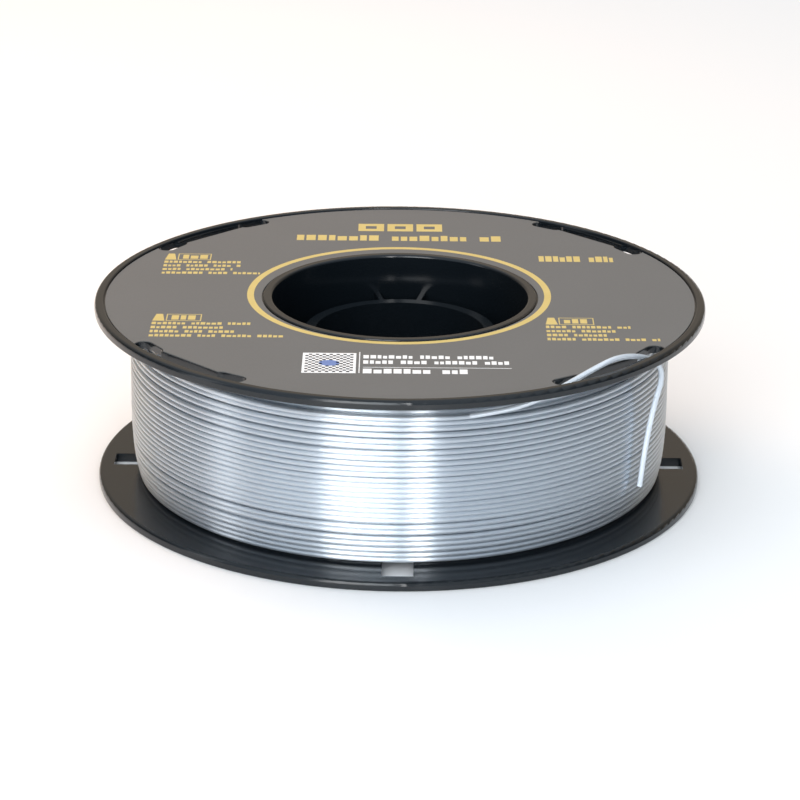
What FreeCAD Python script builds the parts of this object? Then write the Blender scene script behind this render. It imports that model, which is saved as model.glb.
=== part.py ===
import FreeCAD, Part
import math
import os
import re

import Sketcher

# A 1 kg filament spool: two snap-fitted plastic halves, a ring-shaped paper label on the upper
# face, the wound filament and its free end. Millimetres. The origin is the centre of the
# underside, +Z is the spool's axis, and the filament's free end hangs on the +X, -Y side.

SIZES = {
    # flanges
    "flange_radius": 100.0,
    "flange_thickness": 3.0,
    "spool_width": 62.0,
    "edge_round": 1.2,
    "edge_round_inner": 0.5,
    "rim_radius": 97.0,
    "label_recess": 0.8,
    # hub: the lower half's drum slides over the upper half's spigot
    "mouth_radius": 41.9,
    "collar_radius": 44.9,
    "collar_round": 0.9,
    "spigot_radius": 44.5,
    "drum_bore": 44.7,
    "drum_radius": 46.4,
    "drum_step": 22.0,
    "spigot_end": 22.2,
    # bearing tubes, each carried by pairs of ribs
    "bearing_radius": 28.0,
    "bearing_outer": 31.6,
    "bearing_depth": 12.4,
    "upper_bearing_end": 24.6,
    "lower_bearing_end": 21.6,
    "rib_drop": 0.5,
    "rib_thickness": 1.6,
    "rib_spread": 11.0,
    "rib_overlap": 0.6,
    # snap hooks of the lower half and their windows in the spigot
    "hook_width": 9.0,
    "hook_inner": 39.2,
    "hook_face": 41.3,
    "hook_root": 42.6,
    "hook_base": 14.0,
    "hook_foot": 21.5,
    "hook_catch": 29.0,
    "hook_nose": 43.8,
    "hook_top": 33.2,
    "catch_width": 10.4,
    "catch_low": 28.8,
    "catch_high": 33.6,
    # sight windows of the lower flange
    "window_count": 4,
    "window_inner": 55.0,
    "window_outer": 95.0,
    "window_width": 9.7,
    # filament slots in the upper flange's rim, each with a wider pocket at both ends
    "slot_count": 4,
    "slot_chord": 91.8,
    "slot_outer": 95.6,
    "slot_half_length": 21.0,
    "slot_first": 45.0,
    "pocket_radius": 2.6,
    "pocket_half_length": 3.2,
    "pocket_distance": 94.1,
    "pocket_spread": 11.4,
    # label
    "label_thickness": 0.3,
    "label_inner": 45.4,
    "label_outer": 96.5,
    "label_margin": 0.4,
    # filament
    "filament_diameter": 1.75,
    "winding_gap": 0.05,
    "winding_radius": 88.6,
    "winding_shoulder": 87.6,
    "winding_foot": 85.4,
    "shoulder_height": 6.5,
    "belly_height": 16.0,
}

# The free end's route: off the winding, up through one end of a rim slot, over the flange,
# down through the slot's other end and down in front of the winding to its cut tip.
FREE_END_ROUTE = [
    (21.3, -85.9, 52.2),
    (31.2, -83.5, 52.9),
    (41.6, -81.0, 55.3),
    (51.2, -79.0, 60.2),
    (60.0, -72.3, 63.1),
    (67.3, -65.0, 64.1),
    (74.8, -57.9, 62.0),
    (81.4, -50.2, 57.3),
    (83.0, -46.8, 50.3),
    (81.1, -46.2, 43.0),
    (79.3, -46.9, 33.5),
    (77.9, -47.8, 24.0),
    (76.9, -48.8, 14.6),
]

document = FreeCAD.newDocument("FilamentSpool")
sheet = document.addObject("Spreadsheet::Sheet", "Sizes")
for row, (alias, size) in enumerate(SIZES.items(), start=1):
    sheet.set(f"A{row}", alias)
    sheet.set(f"B{row}", str(size))
    sheet.setAlias(f"B{row}", alias)
document.recompute()


def bound(formula):
    """The formula with each alias written as a reference to the sheet."""
    return re.sub(r"[a-z]+(_[a-z]+)+", lambda word: "Sizes." + word.group(0), formula)


def amount(formula):
    """The formula's value now, as a plain number."""
    return float(sheet.evalExpression(bound(formula)))


def set_size(item, name, formula):
    item.setExpression(name, bound(formula))


def new_body(label):
    body = document.addObject("PartDesign::Body", label)
    body.Label = label
    return body


def origin_part(body, role):
    """One of the body's own origin planes or axes."""
    return next(item for item in body.Origin.OriginFeatures if item.Role == role)


def new_sketch(body, name, plane, height="0", turn="0"):
    """An empty sketch on an origin plane, raised along its normal and turned about it."""
    sketch = body.newObject("Sketcher::SketchObject", name)
    sketch.AttachmentSupport = [(origin_part(body, plane), "")]
    sketch.MapMode = "FlatFace"
    sketch.AttachmentOffset = FreeCAD.Placement(
        FreeCAD.Vector(0, 0, amount(height)),
        FreeCAD.Rotation(FreeCAD.Vector(0, 0, 1), amount(turn)),
    )
    set_size(sketch, "AttachmentOffset.Base.z", height)
    set_size(sketch, "AttachmentOffset.Rotation.Angle", turn)
    return sketch


def size_constraint(sketch, formula, kind, *places):
    """A dimension that follows the formula; a plain 0 puts the point on the axis instead."""
    if formula == "0":
        axis = {"DistanceX": -2, "DistanceY": -1}[kind]
        sketch.addConstraint(Sketcher.Constraint("PointOnObject", *places[-2:], axis))
        return
    index = sketch.addConstraint(Sketcher.Constraint(kind, *places, amount(formula)))
    set_size(sketch, f"Constraints[{index}]", formula)


def outline(sketch, corners):
    """A closed outline of straight lines, every corner dimensioned from the sketch's origin."""
    points = [FreeCAD.Vector(amount(across), amount(up), 0) for across, up in corners]
    count = len(points)
    for i in range(count):
        sketch.addGeometry(Part.LineSegment(points[i], points[(i + 1) % count]), False)
    for i in range(count):
        sketch.addConstraint(Sketcher.Constraint("Coincident", i, 2, (i + 1) % count, 1))
    for i, (across, up) in enumerate(corners):
        size_constraint(sketch, across, "DistanceX", -1, 1, i, 1)
        size_constraint(sketch, up, "DistanceY", -1, 1, i, 1)


def rectangle(sketch, left, right, low, high):
    outline(sketch, [(left, low), (right, low), (right, high), (left, high)])


def circle(sketch, radius):
    middle = FreeCAD.Vector(0, 0, 0)
    index = sketch.addGeometry(
        Part.Circle(middle, FreeCAD.Vector(0, 0, 1), amount(radius)), False
    )
    sketch.addConstraint(Sketcher.Constraint("Coincident", index, 3, -1, 1))
    size_constraint(sketch, radius, "Radius", index)


def revolve(body, name, corners):
    """A ring with this half section: distance from the axis and height for each corner."""
    sketch = new_sketch(body, name + "Section", "XZ_Plane")
    outline(sketch, corners)
    ring = body.newObject("PartDesign::Revolution", name)
    ring.Profile = sketch
    ring.ReferenceAxis = (sketch, ["V_Axis"])
    ring.Angle = 360
    document.recompute()
    return ring


def pad(body, name, sketch, length, both_sides=False):
    feature = body.newObject("PartDesign::Pad", name)
    feature.Profile = sketch
    set_size(feature, "Length", length)
    if both_sides:
        feature.SideType = "Symmetric"
    document.recompute()
    return feature


def pocket(body, name, sketch):
    """Cuts along the sketch's normal, right through. It has to take something away."""
    before = body.Shape.Volume
    feature = body.newObject("PartDesign::Pocket", name)
    feature.Profile = sketch
    feature.Type = "ThroughAll"
    feature.Reversed = True
    document.recompute()
    if feature.Shape.Volume > before - 1:
        raise ValueError(f"{name} cuts nothing")
    return feature


def repeat_round_axis(body, name, features, count):
    pattern = body.newObject("PartDesign::PolarPattern", name)
    pattern.Originals = features
    pattern.Axis = (origin_part(body, "Z_Axis"), [""])
    pattern.Angle = 360
    set_size(pattern, "Occurrences", count)
    body.Tip = pattern
    document.recompute()
    return pattern


def round_edges(body, name, circles, radius):
    """Rounds the circular edges of these radii and heights, each given as two formulas."""
    base = body.Tip
    names = []
    for across, up in circles:
        for number, edge in enumerate(base.Shape.Edges, start=1):
            if not isinstance(edge.Curve, Part.Circle):
                continue
            same_radius = abs(edge.Curve.Radius - amount(across)) < 0.01
            if same_radius and abs(edge.Curve.Center.z - amount(up)) < 0.01:
                names.append(f"Edge{number}")
    if len(names) < len(circles):
        raise ValueError(f"{name} finds only {names}")
    fillet = body.newObject("PartDesign::Fillet", name)
    fillet.Base = (base, names)
    set_size(fillet, "Radius", radius)
    document.recompute()
    return fillet


def ribs_and_bearing(body, low, high, rib_low, rib_high):
    """A bearing tube between two heights, held to the hub wall by pairs of radial ribs."""
    ribs = []
    for side, turn in (("Left", "rib_spread"), ("Right", "-rib_spread")):
        sketch = new_sketch(body, f"{side}RibSection", "XY_Plane", rib_low, turn)
        rectangle(
            sketch,
            "bearing_outer - rib_overlap",
            "mouth_radius + rib_overlap",
            "-rib_thickness / 2",
            "rib_thickness / 2",
        )
        ribs.append(pad(body, f"{side}Rib", sketch, f"{rib_high} - ({rib_low})"))
    repeat_round_axis(body, "Ribs", ribs, "window_count")
    tube = new_sketch(body, "BearingSection", "XY_Plane", low)
    circle(tube, "bearing_radius")
    circle(tube, "bearing_outer")
    pad(body, "Bearing", tube, f"{high} - ({low})")


def slot_middle(body, outer_side, margin):
    """The slot between its end pockets: a straight inner side and a round outer side."""
    sketch = new_sketch(body, "SlotMiddleOutline", "XY_Plane", "0", "slot_first")
    inner = amount(f"slot_chord - {margin}")
    outer = amount(outer_side)
    half = amount(f"slot_half_length + {margin}")
    far = math.sqrt(outer**2 - half**2)
    angle = math.atan2(half, far)
    axis = FreeCAD.Vector(0, 0, 1)
    ring = Part.Circle(FreeCAD.Vector(0, 0, 0), axis, outer)
    low_inner, high_inner = FreeCAD.Vector(inner, -half, 0), FreeCAD.Vector(inner, half, 0)
    low_outer, high_outer = FreeCAD.Vector(far, -half, 0), FreeCAD.Vector(far, half, 0)
    sketch.addGeometry(Part.LineSegment(high_inner, low_inner), False)
    sketch.addGeometry(Part.LineSegment(low_inner, low_outer), False)
    sketch.addGeometry(Part.ArcOfCircle(ring, -angle, angle), False)
    sketch.addGeometry(Part.LineSegment(high_outer, high_inner), False)
    for first, end, second, start in ((0, 2, 1, 1), (1, 2, 2, 1), (2, 2, 3, 1), (3, 2, 0, 1)):
        sketch.addConstraint(Sketcher.Constraint("Coincident", first, end, second, start))
    sketch.addConstraint(Sketcher.Constraint("Coincident", 2, 3, -1, 1))
    size_constraint(sketch, outer_side, "Radius", 2)
    size_constraint(sketch, f"slot_chord - {margin}", "DistanceX", -1, 1, 0, 1)
    size_constraint(sketch, f"slot_chord - {margin}", "DistanceX", -1, 1, 0, 2)
    for place, sign in (((0, 1), ""), ((2, 2), ""), ((0, 2), "-"), ((2, 1), "-")):
        formula = f"{sign}(slot_half_length + {margin})"
        size_constraint(sketch, formula, "DistanceY", -1, 1, *place)
    return pocket(body, "SlotMiddle", sketch)


def slot_pocket(body, name, turn, margin):
    """The wider, round-ended pocket at one end of a slot."""
    sketch = new_sketch(body, name + "Outline", "XY_Plane", "0", turn)
    middle = amount("pocket_distance")
    half = amount("pocket_half_length")
    radius = amount(f"pocket_radius + {margin}")
    axis = FreeCAD.Vector(0, 0, 1)
    top, bottom = FreeCAD.Vector(middle, half, 0), FreeCAD.Vector(middle, -half, 0)
    aside = FreeCAD.Vector(radius, 0, 0)
    sketch.addGeometry(Part.ArcOfCircle(Part.Circle(top, axis, radius), 0, math.pi), False)
    sketch.addGeometry(
        Part.ArcOfCircle(Part.Circle(bottom, axis, radius), math.pi, 2 * math.pi), False
    )
    sketch.addGeometry(Part.LineSegment(top - aside, bottom - aside), False)
    sketch.addGeometry(Part.LineSegment(bottom + aside, top + aside), False)
    for arc, end, line, start in ((0, 2, 2, 1), (1, 1, 2, 2), (1, 2, 3, 1), (0, 1, 3, 2)):
        sketch.addConstraint(Sketcher.Constraint("Tangent", arc, end, line, start))
    sketch.addConstraint(Sketcher.Constraint("Equal", 0, 1))
    size_constraint(sketch, f"pocket_radius + {margin}", "Radius", 0)
    for arc, sign in ((0, ""), (1, "-")):
        size_constraint(sketch, "pocket_distance", "DistanceX", -1, 1, arc, 3)
        size_constraint(sketch, f"{sign}pocket_half_length", "DistanceY", -1, 1, arc, 3)
    return pocket(body, name, sketch)


def rim_slots(body, outer_side, margin):
    """The slots near the rim, grown by a margin, each out to the radius outer_side."""
    cuts = [slot_middle(body, outer_side, margin)]
    for name, sign in (("StartPocket", "-"), ("EndPocket", "+")):
        cuts.append(slot_pocket(body, name, f"slot_first {sign} pocket_spread", margin))
    repeat_round_axis(body, "Slots", cuts, "slot_count")


def build_lower_half():
    """Lower flange, winding drum, lower bearing tube and the four snap hooks."""
    body = new_body("lower_half")
    revolve(
        body,
        "FlangeAndDrum",
        [
            ("mouth_radius", "0"),
            ("flange_radius", "0"),
            ("flange_radius", "flange_thickness"),
            ("drum_radius", "flange_thickness"),
            ("drum_radius", "spool_width - flange_thickness"),
            ("drum_bore", "spool_width - flange_thickness"),
            ("drum_bore", "drum_step"),
            ("mouth_radius", "drum_step"),
        ],
    )
    round_edges(body, "RimRound", [("flange_radius", "flange_thickness")], "edge_round")
    under = [("flange_radius", "0"), ("mouth_radius", "0")]
    round_edges(body, "UnderRound", under, "edge_round_inner")
    window = new_sketch(body, "WindowOutline", "XY_Plane")
    rectangle(window, "window_inner", "window_outer", "-window_width / 2", "window_width / 2")
    repeat_round_axis(body, "Windows", [pocket(body, "Window", window)], "window_count")
    ribs_and_bearing(
        body,
        "bearing_depth",
        "lower_bearing_end",
        "bearing_depth + rib_drop",
        "lower_bearing_end",
    )
    side = new_sketch(body, "HookSection", "XZ_Plane")
    outline(
        side,
        [
            ("hook_inner", "hook_base"),
            ("hook_root", "hook_base"),
            ("hook_root", "hook_foot"),
            ("hook_face", "hook_foot"),
            ("hook_face", "hook_catch"),
            ("hook_nose", "hook_catch"),
            ("hook_face", "hook_top"),
            ("hook_inner", "hook_top"),
        ],
    )
    hook = pad(body, "Hook", side, "hook_width", both_sides=True)
    repeat_round_axis(body, "Hooks", [hook], "window_count")
    return body


def build_upper_half():
    """Upper flange with its rim slots, hub spigot with catch windows, upper bearing tube."""
    body = new_body("upper_half")
    face = "spool_width - label_recess"
    revolve(
        body,
        "FlangeAndSpigot",
        [
            ("mouth_radius", "spigot_end"),
            ("spigot_radius", "spigot_end"),
            ("spigot_radius", "spool_width - flange_thickness"),
            ("flange_radius", "spool_width - flange_thickness"),
            ("flange_radius", "spool_width"),
            ("rim_radius", "spool_width"),
            ("rim_radius", face),
            ("collar_radius", face),
            ("collar_radius", "spool_width"),
            ("mouth_radius", "spool_width"),
        ],
    )
    round_edges(body, "RimRound", [("flange_radius", "spool_width")], "edge_round")
    small = [
        ("flange_radius", "spool_width - flange_thickness"),
        ("rim_radius", "spool_width"),
        ("collar_radius", "spool_width"),
    ]
    round_edges(body, "SmallRounds", small, "edge_round_inner")
    round_edges(body, "MouthRound", [("mouth_radius", "spool_width")], "collar_round")
    rim_slots(body, "slot_outer", "0")
    catch = new_sketch(body, "CatchOutline", "YZ_Plane")
    rectangle(catch, "-catch_width / 2", "catch_width / 2", "catch_low", "catch_high")
    repeat_round_axis(body, "Catches", [pocket(body, "Catch", catch)], "window_count")
    ribs_and_bearing(
        body,
        "upper_bearing_end",
        "spool_width - bearing_depth",
        "upper_bearing_end",
        "spool_width - bearing_depth - rib_drop",
    )
    return body


def build_label():
    """Paper ring in the upper flange's recess, cut back around the rim slots."""
    body = new_body("top_label")
    sketch = new_sketch(body, "LabelOutline", "XY_Plane", "spool_width - label_recess")
    circle(sketch, "label_inner")
    circle(sketch, "label_outer")
    pad(body, "Sheet", sketch, "label_thickness")
    rim_slots(body, "label_outer + label_margin", "label_margin")
    return body


def build_winding():
    """The wound filament as one ring, a little barrel-shaped between the flanges."""
    body = new_body("filament_winding")
    low = "flange_thickness + winding_gap"
    high = "spool_width - flange_thickness - winding_gap"
    revolve(
        body,
        "Winding",
        [
            ("drum_radius + winding_gap", low),
            ("winding_foot", low),
            ("winding_shoulder", f"{low} + shoulder_height"),
            ("winding_radius", f"{low} + belly_height"),
            ("winding_radius", f"{high} - belly_height"),
            ("winding_shoulder", f"{high} - shoulder_height"),
            ("winding_foot", high),
            ("drum_radius + winding_gap", high),
        ],
    )
    return body


def rounded_path(points):
    """Straight runs joined by tangent arcs, each as large as its two runs allow."""
    edges, start, radii = [], points[0], []
    for before, corner, after in zip(points, points[1:], points[2:]):
        back, ahead = before - corner, after - corner
        reach = 0.45 * min(back.Length, ahead.Length)
        turn = math.pi - back.getAngle(ahead)
        radii.append(reach / math.tan(turn / 2))
        back.normalize()
        ahead.normalize()
        first, last = corner + back * reach, corner + ahead * reach
        inward = (back + ahead).normalize()
        centre_distance = math.hypot(radii[-1], reach)
        middle = corner + inward * (centre_distance - radii[-1])
        edges.append(Part.LineSegment(start, first).toShape())
        edges.append(Part.Arc(first, middle, last).toShape())
        start = last
    edges.append(Part.LineSegment(start, points[-1]).toShape())
    return Part.Wire(edges), radii


def build_free_end():
    """The filament's free end as a round tube along its route."""
    path, radii = rounded_path([FreeCAD.Vector(*point) for point in FREE_END_ROUTE])
    radius = amount("filament_diameter / 2")
    start = FreeCAD.Vector(*FREE_END_ROUTE[0])
    along = FreeCAD.Vector(*FREE_END_ROUTE[1]) - start
    section = Part.Wire([Part.Circle(start, along, radius).toShape()])
    tube = path.makePipeShell([section], True, True)
    strand = document.addObject("Part::Feature", "filament_end")
    strand.Label = "filament_end"
    strand.Shape = tube
    strand.Placement = FreeCAD.Placement()
    expected = math.pi * radius**2 * path.Length
    print(f"free end: length {path.Length:.1f}, volume {tube.Volume:.1f} of {expected:.1f}")
    print("free end radii:", [round(bend, 1) for bend in radii])
    return strand


parts = [
    build_lower_half(),
    build_upper_half(),
    build_label(),
    build_winding(),
    build_free_end(),
]
document.recompute()
for item in document.Objects:
    if "Invalid" in item.State or "Error" in item.State:
        raise ValueError(f"{item.Label} failed: {item.State}")
os.makedirs("parts", exist_ok=True)
for part in parts:
    if part.Shape.isNull() or not part.Shape.isValid() or len(part.Shape.Solids) != 1:
        raise ValueError(f"{part.Label} isn't one valid solid")
    box = part.Shape.BoundBox
    print(f"{part.Label}: {part.Shape.Volume:.0f} mm3, z {box.ZMin:.2f} to {box.ZMax:.2f}")
    part.Shape.exportStep(f"parts/{part.Label}.step")
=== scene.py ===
import math
import random

import bmesh
import bpy
from mathutils import Matrix, Vector


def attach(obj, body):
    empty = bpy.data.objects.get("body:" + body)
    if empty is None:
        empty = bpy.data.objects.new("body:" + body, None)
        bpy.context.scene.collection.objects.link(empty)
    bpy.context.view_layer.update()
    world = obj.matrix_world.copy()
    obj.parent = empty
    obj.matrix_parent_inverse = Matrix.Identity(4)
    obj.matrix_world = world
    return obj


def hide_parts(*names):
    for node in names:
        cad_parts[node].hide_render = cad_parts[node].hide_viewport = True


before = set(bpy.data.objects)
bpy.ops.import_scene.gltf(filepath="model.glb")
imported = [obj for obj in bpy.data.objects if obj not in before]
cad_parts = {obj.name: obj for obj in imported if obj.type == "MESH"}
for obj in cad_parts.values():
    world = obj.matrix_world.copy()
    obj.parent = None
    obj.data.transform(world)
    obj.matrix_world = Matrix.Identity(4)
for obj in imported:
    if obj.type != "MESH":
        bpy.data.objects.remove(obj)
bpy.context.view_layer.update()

# A filament spool lying on its lower flange: two black moulded halves, a grey paper label with
# gold and white print, silver filament in real turns, and its free end threaded through a rim
# slot. Metres; +Z is the spool's axis, -Y faces the viewer.

MM = 0.001

# ---------------------------------------------------------------- sizes shared by the pieces

STRAND_RADIUS = 0.875 * MM
WINDING_LOW = 3.05 * MM
WINDING_HIGH = 58.95 * MM
DRUM_RADIUS = 46.45 * MM
BELLY_RADIUS = 88.7 * MM
BARREL_DROP = 2.3 * MM
TURN_PITCH = 1.8 * MM
LAYER_STEP = 1.5 * MM
LABEL_TOP = 61.5 * MM

scene = bpy.context.scene
scene.view_settings.view_transform = "Standard"


# ---------------------------------------------------------------- node graphs

class Value:
    """One output of a node. Arithmetic on it adds Math nodes to its graph."""

    def __init__(self, graph, socket):
        self.graph = graph
        self.socket = socket

    def output(self, name):
        return Value(self.graph, self.socket.node.outputs[name])

    def __add__(self, other):
        return self.graph.math("ADD", self, other)

    def __sub__(self, other):
        return self.graph.math("SUBTRACT", self, other)

    def __mul__(self, other):
        return self.graph.math("MULTIPLY", self, other)

    def __truediv__(self, other):
        return self.graph.math("DIVIDE", self, other)

    def __pow__(self, other):
        return self.graph.math("POWER", self, other)

    def __rsub__(self, other):
        return self.graph.math("SUBTRACT", other, self)

    __radd__ = __add__
    __rmul__ = __mul__


class Graph:
    """A node tree that is built by naming nodes, their settings and their inputs."""

    def __init__(self, tree):
        self.tree = tree

    def add(self, kind, settings=None, values=None, output=0):
        """A node of this type. Its settings come first, then its inputs by name or number."""
        node = self.tree.nodes.new(kind)
        for name, setting in (settings or {}).items():
            if name == "stops":
                self.set_stops(node.color_ramp, setting)
            else:
                setattr(node, name, setting)
        for name, value in (values or {}).items():
            if isinstance(value, Value):
                self.tree.links.new(value.socket, node.inputs[name])
            else:
                node.inputs[name].default_value = value
        return Value(self, node.outputs[output]) if len(node.outputs) else None

    @staticmethod
    def set_stops(ramp, stops):
        while len(ramp.elements) < len(stops):
            ramp.elements.new(1.0)
        for element, (position, colour) in zip(ramp.elements, stops):
            element.position = position
            element.color = (*colour, 1.0)

    def math(self, operation, *values):
        return self.add("ShaderNodeMath", {"operation": operation}, dict(enumerate(values)))

    def vector(self, x, y, z):
        return self.add("ShaderNodeCombineXYZ", values={0: x, 1: y, 2: z})

    def parts(self, vector):
        split = self.add("ShaderNodeSeparateXYZ", values={0: vector})
        return [split.output(axis) for axis in "XYZ"]

    def noise(self, vector, scale, detail=2.0, roughness=0.5):
        """Smooth noise from 0 to 1, about 0.5 on average."""
        values = {"Vector": vector, "Scale": scale, "Detail": detail, "Roughness": roughness}
        return self.add("ShaderNodeTexNoise", values=values)

    def span(self, value, low, high, to_low=0.0, to_high=1.0, smooth=False):
        """The value's way from low to high, held at both ends."""
        settings = {"interpolation_type": "SMOOTHSTEP" if smooth else "LINEAR", "clamp": True}
        return self.add(
            "ShaderNodeMapRange", settings, {0: value, 1: low, 2: high, 3: to_low, 4: to_high}
        )

    def blend(self, factor, first, second):
        """From the first colour to the second."""
        settings = {"data_type": "RGBA", "clamp_factor": True}
        return self.add("ShaderNodeMix", settings, {0: factor, 6: first, 7: second}, output=2)


def colour(red, green, blue):
    return (red, green, blue, 1.0)


def finish_material(name, build):
    """A material whose graph is filled by build(graph), which gives the shader's inputs."""
    material = bpy.data.materials.new(name)
    material.use_nodes = True
    tree = material.node_tree
    tree.nodes.clear()
    graph = Graph(tree)
    shader = graph.add("ShaderNodeBsdfPrincipled", values=build(graph))
    graph.add("ShaderNodeOutputMaterial", values={"Surface": shader})
    return material


def object_place(graph):
    return graph.add("ShaderNodeTexCoord", output="Object")


# ---------------------------------------------------------------- finishes

def moulded_plastic(graph):
    """Black moulded plastic: satin gloss, faint flow marks, a fine skin and dusty rubbed spots."""
    place = object_place(graph)
    x, y, z = graph.parts(place)
    around = graph.math("ARCTAN2", y, x)
    across = graph.math("SQRT", x * x + y * y)
    flow = graph.noise(graph.vector(around * 3.0, across * 60.0, z * 60.0), 1.0, 3.0)
    cloud = graph.noise(place, 22.0, 3.0)
    skin = graph.noise(place, 1400.0, 2.0, 0.6)
    swell = graph.noise(place, 160.0, 1.0)
    rubbed = graph.span(graph.noise(place, 55.0, 5.0, 0.7), 0.6, 0.74)
    relief = skin * 0.35 + swell * 0.65
    bump = graph.add(
        "ShaderNodeBump", values={"Strength": 0.16, "Distance": 0.00012, "Height": relief}
    )
    return {
        "Base Color": graph.blend(
            cloud * 0.7 + rubbed * 0.3,
            colour(0.003, 0.005, 0.007),
            colour(0.010, 0.013, 0.016),
        ),
        "Roughness": 0.11 + cloud * 0.08 + flow * 0.05 + rubbed * 0.07,
        "IOR": 1.5,
        "Specular IOR Level": 0.5,
        "Normal": bump,
    }


def silver_strand(graph, wound=True):
    """Silver silk filament: metal-like sheen with fine streaks drawn out along the strand."""
    place = object_place(graph)
    if wound:
        x, y, z = graph.parts(place)
        around = graph.math("ARCTAN2", y, x)
        across = graph.math("SQRT", x * x + y * y)
        fine = graph.vector(around * 1.2, across * 2400.0, z * 2400.0)
        wide = graph.vector(around * 0.7, across * 300.0, z * 540.0)
    else:
        fine = graph.add("ShaderNodeVectorMath", {"operation": "SCALE"}, {0: place, 3: 900.0})
        wide = graph.add("ShaderNodeVectorMath", {"operation": "SCALE"}, {0: place, 3: 90.0})
    streak = graph.noise(fine, 1.0, 1.0)
    tone = graph.noise(wide, 1.0, 1.0)
    bump = graph.add(
        "ShaderNodeBump", values={"Strength": 0.02, "Distance": 0.00001, "Height": streak}
    )
    return {
        "Base Color": graph.blend(
            streak * 0.45 + tone * 0.55, colour(0.60, 0.65, 0.71), colour(0.74, 0.79, 0.84)
        ),
        "Metallic": 0.92 if wound else 0.35,
        "Roughness": 0.31 + streak * 0.05 + tone * 0.04,
        "Anisotropic": 1.0,
        "Anisotropic Rotation": 0.25 if wound else 0.0,
        "Normal": bump,
    }


def label_paper(graph):
    """Matte coated grey paper with a fine fibre and slightly uneven ink."""
    place = object_place(graph)
    fibre = graph.noise(place, 1900.0, 3.0, 0.7)
    ink = graph.noise(place, 38.0, 4.0, 0.6)
    speck = graph.noise(place, 700.0, 2.0)
    bump = graph.add(
        "ShaderNodeBump", values={"Strength": 0.10, "Distance": 0.00005, "Height": fibre}
    )
    return {
        "Base Color": graph.blend(
            ink * 0.6 + speck * 0.4, colour(0.127, 0.124, 0.119), colour(0.151, 0.147, 0.142)
        ),
        "Roughness": 0.50 + fibre * 0.12 + ink * 0.06,
        "Specular IOR Level": 0.35,
        "Normal": bump,
    }


def gold_ink(graph):
    """Gold print: warm, half metallic, grainy like hot-stamped foil."""
    place = object_place(graph)
    grain = graph.noise(place, 1500.0, 3.0, 0.6)
    patch = graph.noise(place, 120.0, 2.0)
    bump = graph.add(
        "ShaderNodeBump", values={"Strength": 0.15, "Distance": 0.00003, "Height": grain}
    )
    return {
        "Base Color": graph.blend(
            grain * 0.5 + patch * 0.5, colour(0.61, 0.455, 0.135), colour(0.80, 0.63, 0.25)
        ),
        "Metallic": 0.25,
        "Roughness": 0.34 + grain * 0.14,
        "Normal": bump,
    }


def flat_ink(dark, light):
    """Plain printing ink, a little uneven."""

    def build(graph):
        place = object_place(graph)
        grain = graph.noise(place, 1300.0, 3.0, 0.6)
        return {
            "Base Color": graph.blend(grain, colour(*dark), colour(*light)),
            "Roughness": 0.46 + grain * 0.12,
        }

    return build


PLASTIC = finish_material("black_moulded_plastic", moulded_plastic)
FILAMENT = finish_material("silver_silk_filament", silver_strand)
FREE_STRAND = finish_material(
    "silver_silk_free_strand", lambda graph: silver_strand(graph, wound=False)
)
PAPER = finish_material("grey_label_paper", label_paper)
GOLD = finish_material("gold_print", gold_ink)
WHITE_INK = finish_material("white_print", flat_ink((0.76, 0.76, 0.76), (0.88, 0.88, 0.88)))
DARK_INK = finish_material("dark_print", flat_ink((0.045, 0.045, 0.05), (0.075, 0.075, 0.08)))
BLUE_INK = finish_material("blue_print", flat_ink((0.13, 0.19, 0.42), (0.17, 0.24, 0.50)))


# ---------------------------------------------------------------- camera

CAMERA_RISE = 20.62
CAMERA_ROLL = 0.479
CAMERA_DISTANCE = 1.006
AIM = Vector((0, 0, 0.0249))


def place_camera():
    """A long lens a metre away, looking down on the spool and turned half a degree."""
    rise = math.radians(CAMERA_RISE)
    roll = math.radians(CAMERA_ROLL)
    back = Vector((0, -math.cos(rise), math.sin(rise)))
    up = Vector((0, math.sin(rise), math.cos(rise)))
    right = Vector((1, 0, 0))
    data = bpy.data.cameras.new("camera")
    data.lens = 136.0
    data.sensor_width = 36.0
    data.shift_x = 0.0011
    data.clip_start = 0.05
    data.clip_end = 20.0
    camera = bpy.data.objects.new("camera", data)
    turned_right = right * math.cos(roll) + up * math.sin(roll)
    turned_up = up * math.cos(roll) - right * math.sin(roll)
    turn = Matrix((turned_right, turned_up, back)).transposed()
    place = AIM + back * CAMERA_DISTANCE
    camera.matrix_world = Matrix.Translation(place) @ turn.to_4x4()
    scene.collection.objects.link(camera)
    scene.camera = camera


place_camera()


# ---------------------------------------------------------------- the filament's free end

FREE_END_ROUTE = [
    (0.0213, -0.0859, 0.0522),
    (0.0312, -0.0835, 0.0529),
    (0.0416, -0.0810, 0.0553),
    (0.0512, -0.0790, 0.0602),
    (0.0600, -0.0723, 0.0631),
    (0.0673, -0.0650, 0.0641),
    (0.0748, -0.0579, 0.0620),
    (0.0814, -0.0502, 0.0573),
    (0.0830, -0.0468, 0.0503),
    (0.0811, -0.0462, 0.0430),
    (0.0793, -0.0469, 0.0335),
    (0.0779, -0.0478, 0.0240),
    (0.0769, -0.0488, 0.0146),
]


def make_free_end():
    data = bpy.data.curves.new("free_end_strand", "CURVE")
    data.dimensions = "3D"
    data.resolution_u = 14
    spline = data.splines.new("NURBS")
    spline.points.add(len(FREE_END_ROUTE) - 1)
    for point, place in zip(spline.points, FREE_END_ROUTE):
        point.co = (*place, 1.0)
    spline.order_u = 3
    spline.use_endpoint_u = True
    data.bevel_depth = STRAND_RADIUS
    data.bevel_resolution = 5
    data.use_fill_caps = True
    strand = bpy.data.objects.new("free_end_strand", data)
    scene.collection.objects.link(strand)
    data.materials.append(FREE_STRAND)
    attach(strand, "root")
    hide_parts("filament_end")


make_free_end()


# ---------------------------------------------------------------- the wound filament

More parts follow.
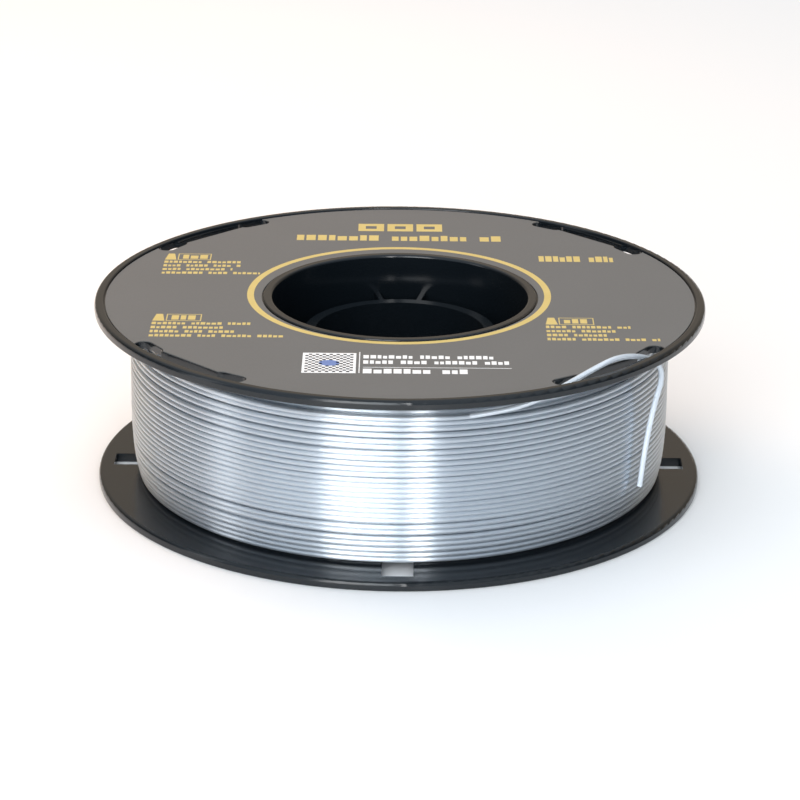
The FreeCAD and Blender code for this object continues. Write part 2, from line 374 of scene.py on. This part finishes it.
def turns_tree():
    """Wound turns as one round strand: a layer on the barrel, or a flat coil on an end face."""
    tree = bpy.data.node_groups.new("wound_turns", "GeometryNodeTree")
    graph = Graph(tree)
    whole = ("Points per turn", "Sides")
    sizes = (
        "Turns",
        "Strand radius",
        "First height",
        "Pitch",
        "First radius",
        "Radius step",
        "Barrel drop",
        "Middle height",
        "Half height",
        "End angle",
        "Looseness",
        "Noise place",
        "Gap size",
        "Lift at end",
        "Rise at end",
    )
    for name in whole:
        tree.interface.new_socket(name, in_out="INPUT", socket_type="NodeSocketInt")
    for name in sizes:
        tree.interface.new_socket(name, in_out="INPUT", socket_type="NodeSocketFloat")
    tree.interface.new_socket("Finish", in_out="INPUT", socket_type="NodeSocketMaterial")
    tree.interface.new_socket("Geometry", in_out="OUTPUT", socket_type="NodeSocketGeometry")
    entry = graph.add("NodeGroupInput")
    size = {name: entry.output(name) for name in (*whole, *sizes, "Finish")}

    spiral = graph.add(
        "GeometryNodeCurveSpiral",
        values={
            "Resolution": size["Points per turn"],
            "Rotations": size["Turns"],
            "Start Radius": 0.08,
            "End Radius": 0.08,
            "Height": 0.05,
        },
    )
    turn = graph.add("GeometryNodeInputIndex") / size["Points per turn"]
    angle = size["End angle"] - (size["Turns"] - turn) * (2 * math.pi)
    level = size["First height"] + size["Pitch"] * turn
    off_middle = graph.math("ABSOLUTE", (level - size["Middle height"]) / size["Half height"])
    barrel = size["First radius"] + size["Radius step"] * turn
    barrel = barrel - size["Barrel drop"] * off_middle**4.0

    cosine, sine = graph.math("COSINE", angle), graph.math("SINE", angle)
    here = graph.vector(cosine * 1.3, sine * 1.3, turn * 0.55 + size["Noise place"])
    side_slip = graph.noise(here, 1.0, 2.0) - 0.5
    there = graph.vector(cosine * 1.7, sine * 1.7, turn * 0.8 + size["Noise place"] + 20.0)
    rise_slip = graph.noise(there, 1.0, 2.0) - 0.5
    leaving = graph.span(turn, size["Turns"] - 0.24, size["Turns"], smooth=True)
    staying = 1.0 - leaving
    level = level + side_slip * size["Looseness"] * staying
    barrel = barrel + rise_slip * size["Looseness"] * staying * 0.7

    # slackly laid turns: bearing and height of the gap, its share of the gap size, how
    # narrow an arc it takes, and the height over which the turns above close up again
    for bearing, from_level, share, narrowness, closing in (
        (-172.0, 47.6, 0.60, 3.0, 0.0),
        (-166.0, 44.0, 0.80, 2.0, 0.0),
        (-160.0, 40.4, 0.40, 2.0, 10.0),
        (-118.0, 15.2, 0.56, 1.0, 18.0),
        (-104.0, 11.6, 0.60, 1.0, 18.0),
        (-35.0, 46.6, 0.35, 3.0, 5.0),
        (-60.0, 7.8, 0.35, 2.0, 12.0),
        (20.0, 24.0, 0.35, 2.0, 14.0),
        (90.0, 36.0, 0.35, 2.0, 12.0),
    ):
        facing = graph.math("COSINE", angle - math.radians(bearing)) * 0.5 + 0.5
        low, high = from_level * MM, (from_level + 0.9) * MM
        beyond = graph.span(level, low, high, smooth=True)
        if closing:
            top = high + closing * MM
            beyond = beyond * graph.span(level, high, top, 1.0, 0.0, smooth=True)
        level = level + facing**narrowness * beyond * staying * size["Gap size"] * share

    barrel = barrel + leaving * size["Lift at end"]
    level = level + leaving * size["Rise at end"]
    place = graph.vector(cosine * barrel, sine * barrel, level)
    laid = graph.add("GeometryNodeSetPosition", values={"Geometry": spiral, "Position": place})
    section = graph.add(
        "GeometryNodeCurvePrimitiveCircle",
        {"mode": "RADIUS"},
        {"Resolution": size["Sides"], "Radius": size["Strand radius"]},
    )
    strand = graph.add(
        "GeometryNodeCurveToMesh",
        values={"Curve": laid, "Profile Curve": section, "Fill Caps": True},
    )
    smooth = graph.add("GeometryNodeSetShadeSmooth", values={"Geometry": strand})
    single = graph.add("GeometryNodeRealizeInstances", values={"Geometry": smooth})
    painted = graph.add(
        "GeometryNodeSetMaterial", values={"Geometry": single, "Material": size["Finish"]}
    )
    graph.add("NodeGroupOutput", values={"Geometry": painted})
    return tree


def made_by_tree(name, tree, sizes):
    """The tree's result with these sizes, as a plain mesh object."""
    holder = bpy.data.objects.new(name + "_holder", bpy.data.meshes.new(name + "_holder"))
    scene.collection.objects.link(holder)
    modifier = holder.modifiers.new("turns", "NODES")
    modifier.node_group = tree
    for item in tree.interface.items_tree:
        if item.in_out == "INPUT":
            modifier[item.identifier] = sizes[item.name]
    bpy.context.view_layer.update()
    evaluated = holder.evaluated_get(bpy.context.evaluated_depsgraph_get())
    mesh = bpy.data.meshes.new_from_object(evaluated)
    holder.modifiers.clear()
    bpy.data.objects.remove(holder)
    mesh.name = name
    piece = bpy.data.objects.new(name, mesh)
    scene.collection.objects.link(piece)
    face_outwards(mesh)
    return piece


def face_outwards(mesh):
    work = bmesh.new()
    work.from_mesh(mesh)
    bmesh.ops.recalc_face_normals(work, faces=work.faces)
    work.to_mesh(mesh)
    work.free()


def belongs(piece):
    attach(piece, "root")


WINDING_MIDDLE = (WINDING_LOW + WINDING_HIGH) / 2
WINDING_HALF = (WINDING_HIGH - WINDING_LOW) / 2
LAST_TURN_HEIGHT = FREE_END_ROUTE[0][2]
LAST_TURN_RISE = 0.7 * MM
OUTER_POINTS = 176
LAST_TURN_ANGLE = math.atan2(FREE_END_ROUTE[0][1], FREE_END_ROUTE[0][0])
LAST_TURN_RADIUS = math.hypot(FREE_END_ROUTE[0][0], FREE_END_ROUTE[0][1])


def barrel_radius(outer, height):
    """The winding's barrel shape: full in the middle, drawn in towards both flanges."""
    return outer - BARREL_DROP * abs((height - WINDING_MIDDLE) / WINDING_HALF) ** 4


def make_winding():
    tree = turns_tree()
    first = WINDING_LOW + STRAND_RADIUS
    outer_radius = BELLY_RADIUS - STRAND_RADIUS
    # the spiral keeps whole points only, so the last turn ends exactly where the free end starts
    climb = LAST_TURN_HEIGHT - LAST_TURN_RISE - first
    outer_turns = round(climb / TURN_PITCH * OUTER_POINTS) / OUTER_POINTS
    common = {
        "Strand radius": STRAND_RADIUS,
        "Middle height": WINDING_MIDDLE,
        "Half height": WINDING_HALF,
        "Finish": FILAMENT,
    }
    outer = made_by_tree(
        "outer_turns",
        tree,
        common
        | {
            "Points per turn": OUTER_POINTS,
            "Sides": 10,
            "Turns": outer_turns + 0.0001,
            "First height": first,
            "Pitch": climb / outer_turns,
            "First radius": outer_radius,
            "Radius step": 0.0,
            "Barrel drop": BARREL_DROP,
            "End angle": LAST_TURN_ANGLE,
            "Looseness": 0.42 * MM,
            "Noise place": 3.7,
            "Gap size": 1.0 * MM,
            "Lift at end": LAST_TURN_RADIUS - barrel_radius(outer_radius, LAST_TURN_HEIGHT),
            "Rise at end": LAST_TURN_RISE,
        },
    )
    below = made_by_tree(
        "lower_layer_turns",
        tree,
        common
        | {
            "Points per turn": 144,
            "Sides": 8,
            "Turns": (WINDING_HIGH - WINDING_LOW - 2 * STRAND_RADIUS) / TURN_PITCH,
            "First height": WINDING_HIGH - STRAND_RADIUS,
            "Pitch": -TURN_PITCH,
            "First radius": outer_radius - LAYER_STEP,
            "Radius step": 0.0,
            "Barrel drop": BARREL_DROP,
            "End angle": LAST_TURN_ANGLE + 1.9,
            "Looseness": 0.3 * MM,
            "Noise place": 11.2,
            "Gap size": 0.0,
            "Lift at end": 0.0,
            "Rise at end": 0.0,
        },
    )
    face = made_by_tree(
        "underside_turns",
        tree,
        common
        | {
            "Points per turn": 128,
            "Sides": 8,
            "Turns": 21.0,
            "First height": first,
            "Pitch": 0.0,
            "First radius": DRUM_RADIUS + STRAND_RADIUS,
            "Radius step": 1.77 * MM,
            "Barrel drop": 0.0,
            "End angle": 0.8,
            "Looseness": 0.12 * MM,
            "Noise place": 7.9,
            "Gap size": 0.0,
            "Lift at end": 0.0,
            "Rise at end": 0.0,
        },
    )
    core = wound_core(outer_radius - LAYER_STEP, first)
    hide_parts("filament_winding")
    for piece in (outer, below, face, core):
        belongs(piece)


def swept_ring(name, section, steps, material, middle=Vector()):
    """A closed ring with this section, given as distances from its middle and heights."""
    work = bmesh.new()
    rings = []
    for step in range(steps):
        angle = 2 * math.pi * step / steps
        outward = Vector((math.cos(angle), math.sin(angle), 0))
        rings.append(
            [work.verts.new(middle + outward * far + Vector((0, 0, up))) for far, up in section]
        )
    for here, there in zip(rings, rings[1:] + rings[:1]):
        for i in range(len(section)):
            j = (i + 1) % len(section)
            work.faces.new((here[i], there[i], there[j], here[j]))
    bmesh.ops.recalc_face_normals(work, faces=work.faces)
    mesh = bpy.data.meshes.new(name)
    work.to_mesh(mesh)
    work.free()
    mesh.materials.append(material)
    ring = bpy.data.objects.new(name, mesh)
    scene.collection.objects.link(ring)
    return ring


def wound_core(outer, low):
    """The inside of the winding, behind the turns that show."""
    high = WINDING_HIGH - STRAND_RADIUS
    steps = 18
    section = [(DRUM_RADIUS, low)]
    for step in range(steps + 1):
        height = low + (high - low) * step / steps
        section.append((barrel_radius(outer, height), height))
    section.append((DRUM_RADIUS, high))
    return swept_ring("wound_core", section, 160, FILAMENT)


make_winding()


# ---------------------------------------------------------------- the label's print

PRINT_LOW = LABEL_TOP - 0.05 * MM
PRINT_HIGH = LABEL_TOP + 0.02 * MM


def box_outline(left, right, low, high):
    return [(left, low), (right, low), (right, high), (left, high)]


def printed(name, material, outlines):
    """Flat outlines, in millimetres on the label, as one thin sheet of print."""
    work = bmesh.new()
    for outline in outlines:
        below = [work.verts.new((x * MM, y * MM, PRINT_LOW)) for x, y in outline]
        above = [work.verts.new((x * MM, y * MM, PRINT_HIGH)) for x, y in outline]
        work.faces.new(above)
        work.faces.new(reversed(below))
        count = len(outline)
        for i in range(count):
            j = (i + 1) % count
            work.faces.new((below[i], below[j], above[j], above[i]))
    mesh = bpy.data.meshes.new(name)
    work.to_mesh(mesh)
    work.free()
    mesh.materials.append(material)
    piece = bpy.data.objects.new(name, mesh)
    scene.collection.objects.link(piece)
    belongs(piece)
    return piece


def dashes(left, middle, width, height, seed, dash=1.25, space=0.42):
    """A line of plain dashes that fills the width, grouped a few at a time."""
    chance = random.Random(seed)
    outlines, x, left_in_group = [], left, chance.randint(4, 8)
    while x < left + width - dash * 0.5:
        length = min(dash * chance.uniform(0.75, 1.2), left + width - x)
        tall = height * chance.choice((0.8, 1.0, 1.0))
        low = middle - height / 2
        outlines.append(box_outline(x, x + length, low, low + tall))
        left_in_group -= 1
        x += length + (space if left_in_group else 1.6 * dash)
        if not left_in_group:
            left_in_group = chance.randint(4, 8)
    return outlines


def frame_outline(left, right, low, high, line):
    """Four thin strips round a rectangle."""
    return [
        box_outline(left, right, low, low + line),
        box_outline(left, right, high - line, high),
        box_outline(left, left + line, low + line, high - line),
        box_outline(right - line, right, low + line, high - line),
    ]


def data_block(left, top, widths, seed):
    """A wedge mark and a framed bar, with four lines of dashes under them."""
    outlines = [[(left, top - 6.6), (left + 3.9, top - 6.6), (left + 3.0, top), (left + 0.9, top)]]
    outlines += frame_outline(left + 4.3, left + 15.6, top - 6.6, top, 0.35)
    outlines += dashes(left + 6.0, top - 3.3, 8.4, 4.2, seed, dash=2.3, space=0.6)
    for line, width in enumerate(widths):
        middle = top - 8.9 - 3.9 * line
        outlines += dashes(left, middle, width, 2.3, seed + 10 + line)
    return outlines


def gold_marks():
    outlines = []
    for i in range(3):
        left = -14.8 + 10.2 * i
        outlines += frame_outline(left, left + 9.0, 70.6, 79.0, 2.6)
    outlines += dashes(-36.0, 62.6, 72.0, 6.0, 5, dash=2.9, space=0.8)
    outlines += data_block(-80.0, 43.0, (26.0, 26.0, 23.5, 33.0), 20)
    outlines += data_block(-79.3, -20.3, (32.0, 24.5, 27.0, 44.5), 40)
    outlines += data_block(46.7, -20.9, (27.0, 22.0, 19.2, 35.6), 60)
    outlines += dashes(47.2, 40.6, 25.3, 6.0, 80, dash=1.9, space=0.5)
    return outlines


RING_MIDDLE = Vector((-0.3 * MM, 2.3 * MM, 0))
RING_INNER = 47.75 * MM
RING_OUTER = 50.0 * MM


def make_gold_ring():
    """A closed band round the hub's collar, printed slightly off the middle."""
    corners = (
        (RING_INNER, PRINT_LOW),
        (RING_OUTER, PRINT_LOW),
        (RING_OUTER, PRINT_HIGH),
        (RING_INNER, PRINT_HIGH),
    )
    ring = swept_ring("gold_ring", corners, 192, GOLD, RING_MIDDLE)
    belongs(ring)


CODE_LEFT, CODE_RIGHT, CODE_LOW, CODE_HIGH = -30.0, -13.4, -74.3, -56.2
CODE_MARGIN = 0.8
CODE_CELLS = 14
CELL_SHARE = 0.94


def code_cells():
    """A plain regular pattern of squares, which says nothing."""
    cell_x = (CODE_RIGHT - CODE_LEFT - 2 * CODE_MARGIN) / CODE_CELLS
    cell_y = (CODE_HIGH - CODE_LOW - 2 * CODE_MARGIN) / CODE_CELLS
    outlines = []
    for row in range(CODE_CELLS):
        for column in range(CODE_CELLS):
            central = 4 < row < 9 and 4 < column < 9
            if (row + column) % 2 or central:
                continue
            left = CODE_LEFT + CODE_MARGIN + cell_x * column
            low = CODE_LOW + CODE_MARGIN + cell_y * row
            right, high = left + cell_x * CELL_SHARE, low + cell_y * CELL_SHARE
            outlines.append(box_outline(left, right, low, high))
    return outlines


def white_marks():
    outlines = [box_outline(CODE_LEFT, CODE_RIGHT, CODE_LOW, CODE_HIGH)]
    outlines.append(box_outline(-12.5, -12.2, -74.1, -55.2))
    outlines.append(box_outline(-11.2, 34.5, -69.1, -68.8))
    outlines += dashes(-11.2, -59.4, 41.0, 3.0, 101, dash=1.5, space=0.5)
    outlines += dashes(-11.2, -64.2, 45.6, 3.0, 102, dash=1.5, space=0.5)
    outlines += dashes(-11.2, -72.3, 32.5, 4.0, 103, dash=2.3, space=0.6)
    return outlines


def make_print():
    printed("gold_marks", GOLD, gold_marks())
    make_gold_ring()
    printed("white_marks", WHITE_INK, white_marks())
    raised = 0.008 * MM
    for name, ink, outlines in (
        ("dark_squares", DARK_INK, code_cells()),
        ("blue_patch", BLUE_INK, [oval_outline(-21.7, -65.3, 3.2, 2.6)]),
    ):
        piece = printed(name, ink, outlines)
        for vertex in piece.data.vertices:
            if vertex.co.z > LABEL_TOP:
                vertex.co.z += raised


def oval_outline(x, y, half_width, half_height, steps=28):
    turns = [2 * math.pi * step / steps for step in range(steps)]
    return [(x + half_width * math.cos(t), y + half_height * math.sin(t)) for t in turns]


make_print()


# ---------------------------------------------------------------- the moulded halves and label

def paint_node(name, material):
    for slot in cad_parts[name].material_slots:
        slot.material = material


paint_node("lower_half", PLASTIC)
paint_node("upper_half", PLASTIC)
paint_node("top_label", PAPER)


# ---------------------------------------------------------------- studio

SOFTBOX_DISTANCE = 1.5


def softbox(name, bearing, width, height, radiance, tint=(1.0, 1.0, 1.0)):
    """An upright soft light on the floor. Bearing 0 is the viewer's side, and grows to +X."""
    turn = math.radians(bearing)
    data = bpy.data.lights.new(name, "AREA")
    data.shape = "RECTANGLE"
    data.size, data.size_y = width, height
    data.energy = radiance * math.pi * width * height
    data.color = tint
    light = bpy.data.objects.new(name, data)
    outward = Vector((math.sin(turn), -math.cos(turn), 0))
    light.location = outward * SOFTBOX_DISTANCE + Vector((0, 0, height / 2))
    light.rotation_euler = (-outward).to_track_quat("-Z", "Y").to_euler()
    scene.collection.objects.link(light)


def top_light():
    """A wide overhead light for the floor and the label; it leaves no streak on the strand."""
    data = bpy.data.lights.new("top softbox", "AREA")
    data.shape = "RECTANGLE"
    data.size, data.size_y = 2.6, 2.6
    data.energy = 24.0
    light = bpy.data.objects.new("top softbox", data)
    light.location = (-0.1, 0.6, 2.0)
    light.visible_glossy = False
    scene.collection.objects.link(light)


def side_lamp():
    """A small warm lamp on the left, which warms that side of the label."""
    data = bpy.data.lights.new("warm side lamp", "AREA")
    data.size = 0.4
    data.energy = 2.6
    data.color = (1.0, 0.5, 0.15)
    light = bpy.data.objects.new("warm side lamp", data)
    light.location = (-0.5, 0.45, 0.36)
    light.rotation_euler = (-Vector(light.location)).to_track_quat("-Z", "Y").to_euler()
    light.visible_glossy = False
    scene.collection.objects.link(light)


def surroundings():
    """Pale tent round the spool: bluish on the viewer's side, warm and darker at the back."""
    world = bpy.data.worlds.new("tent")
    world.use_nodes = True
    world.node_tree.nodes.clear()
    graph = Graph(world.node_tree)
    x, y, z = graph.parts(graph.add("ShaderNodeTexCoord", output="Generated"))
    bearing = graph.math("ARCTAN2", x, 0.0 - y) / (2 * math.pi) + 0.5
    stops = [
        (0.00, (0.52, 0.44, 0.35)),
        (0.12, (0.36, 0.31, 0.24)),
        (0.17, (0.12, 0.10, 0.08)),
        (0.23, (0.10, 0.10, 0.10)),
        (0.28, (0.26, 0.30, 0.35)),
        (0.36, (0.64, 0.74, 0.85)),
        (0.46, (0.72, 0.84, 0.95)),
        (0.56, (0.46, 0.55, 0.66)),
        (0.66, (0.26, 0.31, 0.36)),
        (0.74, (0.12, 0.13, 0.15)),
        (0.80, (0.06, 0.05, 0.04)),
        (0.88, (0.29, 0.25, 0.19)),
        (1.00, (0.52, 0.44, 0.35)),
    ]
    tone = graph.add("ShaderNodeValToRGB", {"stops": stops}, {0: bearing})
    overhead = graph.span(z, 0.35, 0.95, smooth=True)
    light = graph.blend(overhead, tone, colour(0.72, 0.80, 0.88))
    tent = graph.add("ShaderNodeBackground", values={"Color": light, "Strength": 1.0})
    backdrop = graph.add(
        "ShaderNodeBackground", values={"Color": colour(1.0, 1.0, 1.0), "Strength": 1.0}
    )
    seen = graph.add("ShaderNodeLightPath", output="Is Camera Ray")
    mixed = graph.add("ShaderNodeMixShader", values={0: seen, 1: tent, 2: backdrop})
    graph.add("ShaderNodeOutputWorld", values={"Surface": mixed})
    scene.world = world


def pale_floor():
    """A plain white sheet with a faint gloss."""

    def build(graph):
        place = object_place(graph)
        return {
            "Base Color": colour(0.87, 0.87, 0.87),
            "Roughness": 0.30 + graph.noise(place, 3.0, 2.0) * 0.05,
            "IOR": 1.28,
        }

    reach = 4.0
    mesh = bpy.data.meshes.new("floor")
    corners = [(-reach, -reach, 0), (reach, -reach, 0), (reach, reach, 0), (-reach, reach, 0)]
    mesh.from_pydata(corners, [], [(0, 1, 2, 3)])
    mesh.materials.append(finish_material("white_floor", build))
    floor = bpy.data.objects.new("floor", mesh)
    scene.collection.objects.link(floor)


softbox("bright softbox", bearing=-21.9, width=0.38, height=1.5, radiance=5.3)
softbox("front softbox", -8.5, width=0.33, height=1.5, radiance=4.7, tint=(0.91, 0.97, 1.0))
softbox("strip light", bearing=8.9, width=0.12, height=1.5, radiance=12.0)
softbox("side strip", bearing=-76.0, width=0.34, height=1.2, radiance=1.2)
top_light()
side_lamp()
surroundings()
pale_floor()
